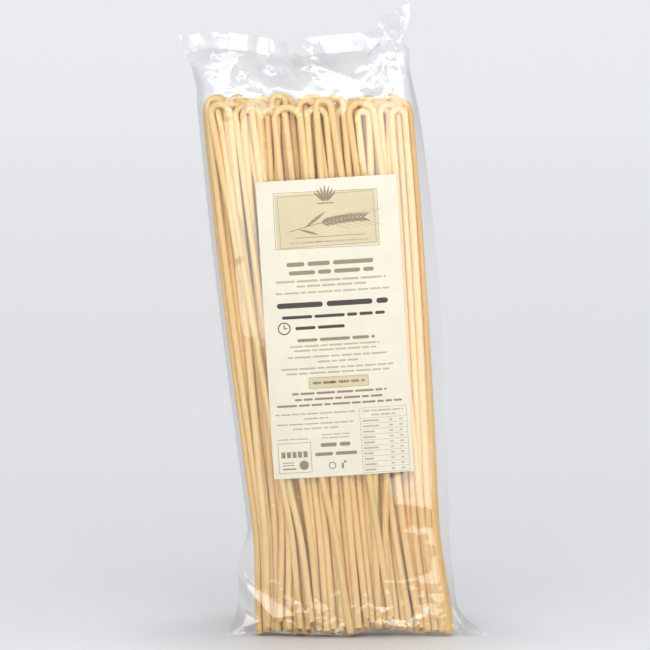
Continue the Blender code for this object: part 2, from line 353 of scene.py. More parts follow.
class Bundle:
    """Hairpins: arches with a middle, a turn and a width each, and legs with a place on every low level."""

    def __init__(self, draw):
        left_x, left_y, right_x, right_y, heights, rows = (np.array(v) for v in zip(*all_hairpins(draw)))
        self.count = len(rows)
        self.middle = np.stack([left_x + right_x, left_y + right_y], axis=1) / 2
        turns = draw.uniform(-TURN_MOST, TURN_MOST, self.count)
        turns *= np.where(rows < OUTER_ROWS, OUTER_TURN, 1.0)
        self.turn = np.arctan2(right_y - left_y, right_x - left_x) + turns
        self.half = np.hypot(right_x - left_x, right_y - left_y) / 2
        self.spring = heights - self.half
        self.narrow = narrowing(LOW_LEVELS)[:, None]
        share = (1 - LOW_LEVELS / SPRING_REFERENCE)[:, None]
        count = 2 * self.count
        drift = draw.normal(0.0, 1.0, (count, 2)) * FOOT_DRIFT
        stray = draw.random(count) < STRAY_SHARE
        drift[stray, 0] = draw.choice([-1.0, 1.0], stray.sum()) * draw.uniform(*STRAY_DRIFT, stray.sum())
        outer = np.repeat((rows < OUTER_ROWS) | ((rows >= ROWS - OUTER_ROWS) & (rows < ROWS)), 2)
        side = np.repeat(np.where(rows < ROWS / 2, -1, 1), 2)
        crossing = outer & (draw.random(count) < CROSSING_SHARE)
        self.order = np.where(crossing, side * draw.integers(*CROSSING_ORDERS, count), 0)
        from_middle = self.leg_tops()[:, 0] / WAIST_HALF_WIDTH
        either = draw.choice([-1.0, 1.0], count)
        way = np.where(np.abs(from_middle) > TURN_BACK, -np.sign(from_middle), either)
        drift[crossing, 0] = (way * draw.uniform(*CROSSING_DRIFT, count))[crossing]
        drift[crossing, 1] = side[crossing] * CROSSING_DEPTH
        late = np.where(crossing, CROSSING_LATENESS, DRIFT_LATENESS)
        self.legs = self.leg_tops() * self.narrow + drift * (share**late)[..., None]
        height = (LOW_LEVELS - SPRING_REFERENCE) / SPRING_REFERENCE
        basis = np.stack([height, height**2, height**3], axis=1)
        self.solve = np.linalg.inv(basis.T @ basis + np.diag(BEND_RESISTANCE)) @ basis.T
        self.fit = basis @ self.solve

    def direction(self):
        return np.stack([np.cos(self.turn), np.sin(self.turn)], axis=1)

    def leg_tops(self):
        """Places of left and right legs in turn where their arch springs."""
        side = self.half[:, None] * self.direction()
        return np.stack([self.middle - side, self.middle + side], axis=1).reshape(-1, 2)

    def arch_discs(self):
        """Where each arch's two branches cross the top levels, and which of them are there."""
        rise = np.clip(TOP_LEVELS[:, None] - self.spring, 0.0, None)
        there = rise < self.half
        reach = np.sqrt(np.clip(self.half**2 - rise**2, 0.0, None))
        side = reach[..., None] * self.direction()
        discs = np.stack([self.middle - side, self.middle + side], axis=2)
        return discs.reshape(len(TOP_LEVELS), -1, 2), np.repeat(there, 2, axis=1)

    def relax(self):
        """Hairpins pushed apart round by round, with legs that bend no more than smoothly."""
        away = 1.0 + np.arange(2 * self.count)
        for _ in range(RELAX_ROUNDS):
            discs, there = self.arch_discs()
            parked = np.where(there[..., None], discs, away[:, None])
            moved = discs + push_apart(parked)
            moved = np.where(there[..., None], hold_in(moved, TOP_LEVELS), discs)
            shift = (moved - discs).reshape(len(TOP_LEVELS), self.count, 2, 2)
            weight = np.maximum(there.reshape(len(TOP_LEVELS), self.count, 2).sum((0, 2)), 1)
            self.middle += RELAX_STEP * shift.sum((0, 2)) / weight[:, None]
            direction = self.direction()
            across = np.stack([-direction[:, 1], direction[:, 0]], axis=1)
            swing = ((shift[:, :, 1] - shift[:, :, 0]) * across).sum((0, 2)) / weight
            self.turn += np.clip(swing / self.half, -RELAX_TURN, RELAX_TURN)
            legs = hold_in(self.legs + push_apart(self.legs, self.order), LOW_LEVELS)
            taut = self.leg_tops() * self.narrow
            flat = (legs - taut).reshape(len(LOW_LEVELS), -1)
            self.legs = (self.fit @ flat).reshape(legs.shape) + taut

    def lines(self, draw):
        """The middle line of every hairpin, up one leg, over its arch and down the other."""
        tops = self.leg_tops()
        flat = (self.legs - tops * self.narrow).reshape(len(LOW_LEVELS), -1)
        shape = (self.solve @ flat).reshape(3, -1, 2)
        lines = []
        for i in range(self.count):
            spring = self.spring[i]
            legs = []
            for leg in (2 * i, 2 * i + 1):
                foot = tops[leg] + shape[:, leg].T @ (-1, 1, -1)
                outer = np.abs(foot[1]) > OUTER_SHARE * FOOT_HALF_DEPTH
                end = mix(*(OUTER_END_HEIGHTS if outer else INNER_END_HEIGHTS), draw.random() ** END_SKEW)
                end += float(lifted(foot[0]) * lift_share(foot[1]))
                z = mix(end, spring, np.linspace(0, 1, LEG_RINGS))
                height = (z - spring) / SPRING_REFERENCE
                place = tops[leg] * narrowing(z) / narrowing(spring)
                place = place + sum(shape[k, leg] * (height ** (k + 1))[:, None] for k in range(3))
                legs.append(np.column_stack([place, z]))
            angle = np.linspace(0, math.pi, ARCH_RINGS + 1)[1:-1]
            side = -self.half[i] * np.cos(angle)[:, None] * self.direction()[i]
            arch = np.column_stack([self.middle[i] + side, spring + self.half[i] * np.sin(angle)])
            line = np.vstack([legs[0], arch, legs[1][::-1]])
            line[:, 0] += centre_x(line[:, 2])
            lines.append(line)
        return lines


def tube(line, radii, sides):
    """Points and faces of a round tube along a line, with flat ends."""
    ahead = np.gradient(line, axis=0)
    ahead /= np.linalg.norm(ahead, axis=1)[:, None]
    side = Vector(ahead[0]).orthogonal().normalized()
    before = Vector(ahead[0])
    points = []
    angle = 2 * math.pi * np.arange(sides) / sides
    for place, direction, radius in zip(line, ahead, radii):
        now = Vector(direction)
        side = before.rotation_difference(now) @ side
        other = now.cross(side)
        before = now
        ring = np.outer(np.cos(angle), side) + np.outer(np.sin(angle), other)
        points.append(place + radius * ring)
    faces = []
    for ring in range(len(line) - 1):
        low, high = ring * sides, (ring + 1) * sides
        for k in range(sides):
            n = (k + 1) % sides
            faces.append((low + k, low + n, high + n, high + k))
    last = (len(line) - 1) * sides
    faces.append(tuple(reversed(range(sides))))
    faces.append(tuple(range(last, last + sides)))
    return np.vstack(points), faces


def make_strands(material):
    draw = np.random.default_rng(SEED)
    bundle = Bundle(draw)
    bundle.relax()
    points, faces, tones, total = [], [], [], 0
    for line in bundle.lines(draw):
        size = STRAND_RADIUS * draw.uniform(*THICKNESS)
        places = np.linspace(0, len(line) - 1, UNEVEN_PLACES)
        wander = np.interp(np.arange(len(line)), places, draw.normal(0, UNEVENNESS, UNEVEN_PLACES))
        ring_points, ring_faces = tube(line, size * (1 + wander), TUBE_SIDES)
        points.append(ring_points)
        faces += [tuple(total + v for v in face) for face in ring_faces]
        tones += [draw.random()] * len(ring_points)
        total += len(ring_points)
    strands = piece("strands", np.vstack(points), faces, material)
    tone = strands.data.attributes.new("tone", "FLOAT", "POINT")
    tone.data.foreach_set("value", tones)
    strands.data.set_sharp_from_angle(angle=STRAND_SHARP)
    return strands


# Film

FILM_CLEARANCE = 0.0003
PANEL_COLUMNS = 160
EDGE_CROWDING = 0.35
LEVEL_POINTS = 400
FOOT_ROWS = np.linspace(0.0002, 0.030, 42)[:-1]
MIDDLE_ROWS = np.linspace(0.030, 0.2415, 104)[:-1]
HEAD_BEND = 0.2699
SHOULDER_ROWS = np.linspace(0.2415, HEAD_BEND, 32)
SEAL_SHARE = 0.74
CREASED_ROWS = np.linspace(0.0, SEAL_SHARE, 55)[1:]
SEAL_ROWS = np.linspace(SEAL_SHARE, 1.0, 42)[1:]
SEAL_GAP = 0.0002
FILM_SHARP = math.radians(14)

# How fast the head narrows towards its seal, and how that varies across
CLOSING = 1.65
CLOSING_WAVE = 0.45
CLOSING_LENGTH = 0.0105
CLOSING_START = 2.0

# Outline of the head in the photograph's pixels
TOP_EDGE = ((177.5, 34), (205, 31.5), (233, 32), (276, 39), (284, 41.5), (319, 35.6), (339, 34), (374, 30.7),
            (384, 15), (409, 2))
LEFT_EDGE = ((200.7, 89.6), (200, 83), (193, 66), (185.8, 50), (177.5, 34))
RIGHT_EDGE = ((414.6, 106), (409, 71), (409, 50), (402, 40), (409.6, 17), (409, 2))

# Random creases of each part of the film: how many, the box they lie in, their half lengths and their slopes
HEAD_BOX = ((-0.090, 0.2615), (0.031, 0.3155))
FOOT_BOX = ((-0.066, 0.000), (0.068, 0.030))
BODY_BOX = ((-0.080, 0.030), (0.060, 0.2385))
HEAD_CREASES = (46, HEAD_BOX, (0.010, 0.034), (0.18, 0.55))
SHARED_CREASES = (42, HEAD_BOX, (0.008, 0.028), (0.12, 0.42))
FOOT_CREASES = (120, FOOT_BOX, (0.003, 0.013), (0.15, 0.50))
BODY_CREASES = (40, BODY_BOX, (0.005, 0.016), (0.08, 0.22))
CREASE_SLIMNESS = (0.22, 0.60)

# Creases of a panel below the head: the share of them that stands off the bundle, the height where they
# set in and the span over which they grow
CREASE_LIFTS = (("body", 0.55, -1.0, 1.0), ("foot", 0.75, 0.034, -0.020), ("head", 0.40, 0.2395, 0.030))

# Creases of the head, as shares of its height: where the panels' own set in, where they end, the least of
# them that stays, and where the shared ones set in and their span
LOOSE_SPAN = 0.16
PARTED_SPAN = 0.35
PARTED_LEAST = 0.25
SHARED_START = 0.10
SHARED_SPAN = 0.25
SEAL_FOLD = 6.0

# Waves of the seal: length, start and height, and the crimp across it
SEAL_WAVES = ((0.052, 0.1, 0.0042), (0.031, 0.6, 0.0022))
CRIMP_PITCH = 0.0013
CRIMP_DEPTH = 0.00012
CRIMP_LEAST = 0.25
CRIMP_CORNER = 0.010
CRIMP_FADE = 0.006

# Slow waves of the film: direction in degrees, length, start and height
SLOW_WAVES = ((14, 0.047, 0.2, 0.00022), (97, 0.083, 0.5, 0.00030), (-64, 0.061, 0.8, 0.00018))
WAVES_FADE = 0.02
LABEL_MARGIN = 0.016

# Lower edge of the film, which turns in under the pack, with ripples along it: share, length and start
TUCK_HEIGHT = 0.0042
TUCK_DEPTH = 0.55
TUCK_CURVE = 1.4
TUCK_RIPPLES = ((0.35, 0.0083, 0.0), (0.25, 0.0047, 1.3))
LIFTED_HEIGHT = 0.010
BACK_LIFT = 0.1

# Arcs in which the lower edge is off the floor: middle and half width in the photograph's pixels, and height
FOOT_ARCS = ((272, 30, 0.0022), (322, 26, 0.0009), (388, 40, 0.0042), (438, 28, 0.0026))

# Flat webs of film pulled tight at the foot: three corners in the photograph's pixels, the depth in front of
# the bundle's middle plane at the first, and the slopes of that depth across and up
FOOT_WEBS = (
    (((273, 615), (238, 577), (303, 614)), 0.0151, -0.033, -0.48),
    (((236, 628), (232, 606), (262, 621)), 0.0120, -0.10, -0.44),
    (((468, 629), (452, 606), (486, 622)), 0.0110, -0.06, -0.46),
    (((312, 566), (302, 530), (316, 556)), 0.0142, -0.05, -0.10),
)
WEB_FALL = 1.6
WEB_FOLD = 25.0
DEPTH_LIMIT = 0.0160
DEPTH_SOFTNESS = 0.0009
LAP_SHIFT = 0.004
LAP_HALF_WIDTH = 0.0055
LAP_HEIGHT = 0.0005
LAP_EDGE = 0.0008
LAP_FADE = 0.010


class Creases:
    """Film creased at random: a sum of tents with sharp ridges and flat sides."""

    def __init__(self, draw, count, box, lengths, slopes):
        self.x = draw.uniform(box[0][0], box[1][0], count)
        self.z = draw.uniform(box[0][1], box[1][1], count)
        self.turn = draw.uniform(0, math.pi, count)
        self.long = draw.uniform(*lengths, count)
        self.wide = self.long * draw.uniform(*CREASE_SLIMNESS, count)
        self.rise = self.wide * draw.choice((-1.0, 1.0), count) * draw.uniform(*slopes, count)

    def height(self, x, z):
        total = np.zeros_like(x)
        for cx, cz, turn, long, wide, rise in zip(self.x, self.z, self.turn, self.long, self.wide, self.rise):
            c, s = math.cos(turn), math.sin(turn)
            along = np.abs((x - cx) * c + (z - cz) * s) / long
            across = np.abs((z - cz) * c - (x - cx) * s) / wide
            total += rise * np.maximum(1 - along - across, 0.0)
        return total


def waved(x, z, waves):
    """Height of slowly waving film over the panel at x and z, never under 0."""
    total = np.zeros_like(x)
    for angle, length, start, height in waves:
        a = math.radians(angle)
        total += height * (1 + np.sin(2 * math.pi * ((x * math.cos(a) + z * math.sin(a)) / length + start)))
    return total


def bundle_front(x, z):
    """How far the taut film is in front of the bundle's middle plane."""
    deep, wide = half_depth(z) + FILM_CLEARANCE, half_width(z) + FILM_CLEARANCE
    return deep * rounded((x - centre_x(z)) / wide)


def beside_label(x, z):
    """0 on the label, rising to 1 at a margin from it."""
    across = x - centre_x(LABEL_CENTRE_HEIGHT) - LABEL_SHIFT
    up = z - LABEL_CENTRE_HEIGHT
    u = across * math.cos(LABEL_TURN) + up * math.sin(LABEL_TURN)
    v = -across * math.sin(LABEL_TURN) + up * math.cos(LABEL_TURN)
    out = np.maximum(np.abs(u) - LABEL_WIDTH / 2, np.abs(v) - LABEL_HEIGHT / 2)
    return eased(out / LABEL_MARGIN)


def inward(share, steepness=4.0):
    """0 at a panel's folded edges, rising to 1 towards its middle."""
    return np.clip(steepness * share * (1 - share), 0.0, 1.0)


def panel_share():
    """Shares across a panel, a little closer together near its edges."""
    even = np.arange(PANEL_COLUMNS + 1) / PANEL_COLUMNS
    return mix(even, 0.5 - 0.5 * np.cos(math.pi * even), EDGE_CROWDING)


def taut_depth(x, z):
    """Depth of the film on one level: over the bundle, and straight from it to the folded edges."""
    fine = np.linspace(left_edge(z), right_edge(z), LEVEL_POINTS)[1:-1]
    over = bundle_front(fine, np.full_like(fine, z))
    depth = bundle_front(x, np.full_like(x, z))
    for edge, side in ((left_edge(z), -1), (right_edge(z), 1)):
        slopes = np.where(side * (fine - centre_x(z)) > 0, over / (side * (edge - fine)), 0.0)
        touch = fine[np.argmax(slopes)]
        depth = np.where(side * (x - touch) > 0, slopes.max() * side * (edge - x), depth)
    return depth


def panel_creases(draw):
    """Creases of one panel, by the part of the film they are in."""
    made = {"head": HEAD_CREASES, "foot": FOOT_CREASES, "body": BODY_CREASES}
    return {name: Creases(draw, *sizes) for name, sizes in made.items()}


def stand_off(x, z, creases, share):
    """How far one panel stands off the bundle below the head."""
    out = waved(x, z, SLOW_WAVES) * eased(z / WAVES_FADE)
    for name, part, start, span in CREASE_LIFTS:
        out += part * eased((z - start) / span) * np.abs(creases[name].height(x, z))
    return out * np.sqrt(inward(share))


def tucked(x, z):
    """1 above the film's lower edge, and less below it, where the film turns in under the pack."""
    ripples = sum(part * np.sin(x / length + start) for part, length, start in TUCK_RIPPLES)
    edge = TUCK_HEIGHT * (1 + ripples)
    return 1 - TUCK_DEPTH * np.maximum(1 - z / edge, 0.0) ** TUCK_CURVE


def lifted(x):
    """How far the film's lower edge is off the floor: in uneven arcs between the corners."""
    arcs = [height * np.maximum(1 - ((x - photo_x(middle)) / (half * PIXEL)) ** 2, 0.0)
            for middle, half, height in FOOT_ARCS]
    return np.max(arcs, axis=0)


def lift_share(y):
    """Share of that height at this depth, since the film's lower edge comes back down behind."""
    return np.interp(y, (-FOOT_HALF_DEPTH, FOOT_HALF_DEPTH), (1.0, BACK_LIFT))


def webs(x, z):
    """Depth of the flat webs at the foot, falling away steeply outside their corners."""
    depth = np.full_like(x, -1.0)
    for corners, start, across, up in FOOT_WEBS:
        places = [np.array((photo_x(px), photo_z(py))) for px, py in corners]
        middle = sum(places) / len(places)
        inside = np.full_like(x, 1.0)
        for here, there in zip(places, places[1:] + places[:1]):
            side = there - here
            normal = np.array((-side[1], side[0])) / np.linalg.norm(side)
            normal *= np.sign(normal @ (middle - here))
            inside = np.minimum(inside, (x - here[0]) * normal[0] + (z - here[1]) * normal[1])
        flat = start + across * (x - places[0][0]) + up * (z - places[0][1])
        depth = np.maximum(depth, flat + WEB_FALL * np.minimum(inside, 0.0))
    return depth


def limited(depth):
    """Depth kept within the solid's own."""
    over = np.maximum(np.abs(depth) - DEPTH_LIMIT, 0.0)
    kept = np.minimum(np.abs(depth), DEPTH_LIMIT) + DEPTH_SOFTNESS * np.tanh(over / DEPTH_SOFTNESS)
    return np.sign(depth) * kept


def body_rows(front_creases, back_creases):
    """The film from the floor to where the head begins: place, lift and front and back depths by level."""
    rows = []
    share = panel_share()
    for z in np.concatenate([FOOT_ROWS, MIDDLE_ROWS, SHOULDER_ROWS]):
        x = mix(left_edge(z), right_edge(z), share)
        depth = taut_depth(x, z)
        level = np.full_like(x, z)
        lift = lifted(x) * max(1 - z / LIFTED_HEIGHT, 0.0)
        front = stand_off(x, level, front_creases, share) * beside_label(x, level)
        back = stand_off(x, level, back_creases, share)
        lap = (LAP_HALF_WIDTH - np.abs(x - centre_x(z) - LAP_SHIFT)) / LAP_EDGE
        back += LAP_HEIGHT * eased(lap) * eased((HEAD_BEND - z) / LAP_FADE)
        under = tucked(x, level)
        front = depth + front
        front += inward(share, WEB_FOLD) * np.maximum(webs(x, level) - front, 0.0)
        rows.append((x, level, lift, -limited(front) * under, limited(depth + back) * under))
    return rows


def along_edge(points, share):
    """Points at shares of the length of an outline given in the photograph's pixels."""
    places = np.array([(photo_x(x), photo_z(y)) for x, y in points])
    length = length_along(places)
    at = np.asarray(share) * length[-1]
    return np.stack([np.interp(at, length, places[:, k]) for k in range(2)], axis=-1)


def head_rows(shoulder, front_creases, back_creases, shared_creases):
    """The film from the shoulder to the crimped seal, whose outline follows the photograph."""
    share = panel_share()
    shoulder_depth = taut_depth(shoulder[0], HEAD_BEND)
    start_left = np.array([left_edge(HEAD_BEND), HEAD_BEND])
    start_right = np.array([right_edge(HEAD_BEND), HEAD_BEND])
    bottom = mix(start_left, start_right, share[:, None])
    top = along_edge(TOP_EDGE, share)
    edge = np.sqrt(inward(share))
    rows = []
    for t in np.concatenate([CREASED_ROWS, SEAL_ROWS]):
        left, right = (
            along_edge(line, t) + (start - along_edge(line, 0.0)) * (1 - t) ** 3
            for line, start in ((LEFT_EDGE, start_left), (RIGHT_EDGE, start_right))
        )
        corners = mix(bottom, mix(top[0], top[-1], share[:, None]), t)
        plane = mix(left, right, share[:, None]) + mix(bottom, top, t) - corners
        x, z = plane[:, 0], plane[:, 1]
        closed = min(t / SEAL_SHARE, 1.0)
        closing = CLOSING + CLOSING_WAVE * np.sin(x / CLOSING_LENGTH + CLOSING_START)
        body = shoulder_depth * (1 - closed**closing)
        loose = eased(t / LOOSE_SPAN)
        parted = mix(PARTED_LEAST, 1.0, eased((1 - closed) / PARTED_SPAN))
        near, far = (
            stand_off(x, z, creases, share) * (1 - loose)
            + edge * loose * parted * creases["head"].height(x, z)
            for creases in (front_creases, back_creases)
        )
        wave = sum(h * np.sin(2 * math.pi * (x / length + start)) for length, start, h in SEAL_WAVES)
        wave = wave * eased(closed) * inward(share, SEAL_FOLD)
        wave += eased((t - SHARED_START) / SHARED_SPAN) * shared_creases.height(x, z)
        if t > SEAL_SHARE:
            depth = CRIMP_DEPTH * mix(CRIMP_LEAST, 1.0, eased((x - CRIMP_CORNER) / CRIMP_FADE))
            wave += depth * np.sin(2 * math.pi * (top[:, 1] - z) / CRIMP_PITCH)
        gap = SEAL_GAP * edge
        front = limited(wave - np.maximum(body + near, gap))
        back = limited(wave + np.maximum(body + far, gap))
        rows.append((x, z, 0.0, front, back))
    return rows


def make_film(material):
    draw = np.random.default_rng(FILM_SEED)
    front_creases, back_creases = panel_creases(draw), panel_creases(draw)
    shared_creases = Creases(draw, *SHARED_CREASES)
    rows = body_rows(front_creases, back_creases)
    rows += head_rows(rows[-1], front_creases, back_creases, shared_creases)
    points = []
    for x, z, lift, front, back in rows:
        points.append(np.column_stack([x, front, z + lift * lift_share(front)]))
        points.append(np.column_stack([x, back, z + lift * lift_share(back)])[-2:0:-1])
    ring = 2 * PANEL_COLUMNS
    faces = []
    for row in range(len(rows) - 1):
        low, high = row * ring, (row + 1) * ring
        for k in range(ring):
            n = (k + 1) % ring
            faces.append((low + k, low + n, high + n, high + k))
    last = (len(rows) - 1) * ring
    for start, turned in ((0, True), (last, False)):
        for k in range(PANEL_COLUMNS):
            face = [start + k, start + k + 1, start + (ring - k - 1) % ring, start + (ring - k) % ring]
            face = list(dict.fromkeys(face))
            faces.append(tuple(reversed(face)) if turned else tuple(face))
    film = piece("film", np.vstack(points), faces, material)
    film.data.set_sharp_from_angle(angle=FILM_SHARP)
    return film


# Label

# The label is a little shorter than the solid's, so that its corners are at the photograph's
LABEL_STRETCH = 0.992
LABEL_RAISE = 0.0006
PAPER_LIFT = 0.00012
PAPER_THICKNESS = 0.00015
PAPER_SHARP = math.radians(40)
LABEL_COLUMNS = 56
LABEL_ROWS = 110
INK_LIFT = 0.00003
MM = 0.001

# The print's sizes and places are in millimetres, from the label's middle
INK_STEP = 1.5
BAR_LETTERS = (3, 10)
BAR_STRETCH = 0.62
BAR_GAP = 0.42
BAR_SHARE = 0.58
BAR_REST = 0.5
BAR_LEAST = 2.2
CAP_START = 0.15
CAP_STEPS = 5
RING_STEPS = 33
TINY = 1e-9

# Lines of print shown as bars: middle across, height above the label's middle, width, letter height and ink
PRINT_LINES = (
    (-0.3, 43.5, 38.8, 1.2, "pale"),
    (-0.3, 32.7, 43.9, 3.6, "brown"),
    (-0.2, 28.4, 42.2, 3.5, "brown"),
    (-0.6, 24.2, 54.8, 1.9, "pale"),
    (-0.6, 21.6, 34.7, 1.8, "pale"),
    (-0.2, 18.4, 56.8, 1.5, "pale"),
    (-0.6, 12.2, 55.3, 4.6, "dark"),
    (-0.5, 6.2, 51.2, 2.7, "dark"),
    (-7.1, 0.6, 25.3, 2.7, "dark"),
    (0.0, -5.6, 38.3, 2.7, "brown"),
    (-0.8, -8.6, 44.6, 1.5, "pale"),
    (-0.6, -10.8, 41.2, 1.5, "pale"),
    (0.1, -14.1, 49.3, 1.5, "pale"),
    (0.3, -16.7, 20.3, 1.5, "pale"),
    (-0.1, -19.9, 56.1, 1.5, "pale"),
    (0.0, -22.3, 51.5, 1.5, "pale"),
    (0.2, -27.4, 26.0, 2.2, "brown"),
    (0.0, -32.5, 47.1, 1.9, "brown"),
    (0.2, -35.5, 44.9, 1.9, "brown"),
    (-0.1, -38.4, 62.4, 1.8, "brown"),
    (-12.7, -42.7, 39.8, 1.3, "pale"),
    (-12.4, -45.2, 12.2, 1.3, "pale"),
    (-12.9, -47.8, 38.5, 1.3, "pale"),
    (-12.8, -50.2, 22.8, 1.3, "pale"),
    (-24.1, -55.3, 15.6, 1.0, "pale"),
    (-3.0, -53.7, 13.8, 1.0, "pale"),
    (-3.0, -55.4, 13.8, 1.0, "pale"),
    (-3.4, -58.9, 15.0, 3.3, "brown"),
    (-2.7, -63.5, 22.2, 2.9, "brown"),
)


# Filled boxes: ink, left, low, right and top sides, and layer
PRINT_BOXES = (
    ("field", -26.4, 40.9, 24.2, 68.2, 0),
    ("field", -14.6, -30.1, 14.9, -24.7, 0),
    ("brown", -2.5, 64.4, 0.3, 65.2, 1),
    ("brown", -5.2, 62.4, 3.0, 63.0, 1),
    ("brown", -30.3, -70.6, -23.6, -69.9, 0),
    ("brown", -30.3, -68.6, -24.6, -68.2, 0),
    ("brown", -30.3, -67.3, -24.6, -66.9, 0),
    ("brown", -0.9, -71.2, 0.2, -68.4, 0),
)

# Frames: ink, sides as above, width of line, turn in degrees and layer
PRINT_FRAMES = (
    ("brown", -26.9, 40.4, 24.6, 68.6, 0.22, -0.7, 1),
    ("brown", -24.6, 41.4, 22.9, 67.2, 0.18, 0.9, 1),
    ("gold", -14.6, -30.1, 14.9, -24.7, 0.30, 0.0, 1),
    ("brown", -32.0, -72.2, -15.8, -57.2, 0.22, 0.0, 0),
)

# Straight strokes: ink, start, end, width and layer
PRINT_RULES = (
    ("brown", (-17.0, 45.9), (17.4, 46.1), 0.3, 1),
    ("dark", (-25.3, 0.8), (-25.3, 2.7), 0.5, 0),
    ("dark", (-25.5, 0.8), (-23.8, 0.8), 0.5, 0),
)

# Rings: ink, middle, radius and width of line
PRINT_RINGS = (
    ("dark", -25.3, 0.8, 2.9, 0.55),
    ("brown", -19.6, -68.6, 1.2, 2.3),
    ("brown", -5.5, -69.5, 1.6, 0.5),
    ("brown", 0.9, -67.9, 0.35, 0.6),
)
STUB_LEFT, STUB_LOW, STUB_WIDE, STUB_TALL, STUB_PITCH, STUBS = -30.6, -64.6, 2.0, 3.0, 2.75, 5
TABLE_LEFT, TABLE_LOW, TABLE_RIGHT, TABLE_TOP, TABLE_HEAD, TABLE_ROWS = 9.6, -74.2, 33.0, -41.4, -46.6, 10
TABLE_WORDS = (4.5, 8.5)

# Ear of wheat: left end and height of its stalk, length, rise and bend, and its grains' shares of the stalk
STALK_LEFT, STALK_LOW, STALK_LENGTH, STALK_RISE, STALK_BEND = -19.5, 49.2, 38.0, 5.2, 1.9
GRAIN_SHARES = [0.42 + 0.052 * k for k in range(11)]


def label_point(u, v, lift):
    """A point on the label, u mm to the right of its middle and v mm up, lift metres clear of the film."""
    middle = centre_x(LABEL_CENTRE_HEIGHT) + LABEL_SHIFT
    u, v = u * MM, v * MM * LABEL_STRETCH + LABEL_RAISE
    x = middle + u * math.cos(LABEL_TURN) - v * math.sin(LABEL_TURN)
    z = LABEL_CENTRE_HEIGHT + u * math.sin(LABEL_TURN) + v * math.cos(LABEL_TURN)
    return np.stack([x, -bundle_front(x, z) - lift, z], axis=-1)


def plate(us, vs, base, height, shape=None):
    """Points and faces of a thin closed plate on the label over a grid of us and vs, which shape may bend."""
    grid_u, grid_v = np.meshgrid(us, vs)
    if shape is not None:
        grid_u, grid_v = shape(grid_u, grid_v)
    rows, columns = grid_u.shape
    low = label_point(grid_u, grid_v, base).reshape(-1, 3)
    high = label_point(grid_u, grid_v, base + height).reshape(-1, 3)
    count = rows * columns
    faces = []
    for r in range(rows - 1):
        for c in range(columns - 1):
            a, b = r * columns + c, r * columns + c + 1
            d, e = a + columns, b + columns
            faces.append((count + a, count + b, count + e, count + d))
            faces.append((a, d, e, b))
    rim = list(range(columns - 1)) + [r * columns + columns - 1 for r in range(rows - 1)]
    rim += [(rows - 1) * columns + c for c in range(columns - 1, 0, -1)]
    rim += [r * columns for r in range(rows - 1, 0, -1)]
    for i, a in enumerate(rim):
        b = rim[(i + 1) % len(rim)]
        faces.append((a, b, count + b, count + a))
    return np.vstack([low, high]), faces


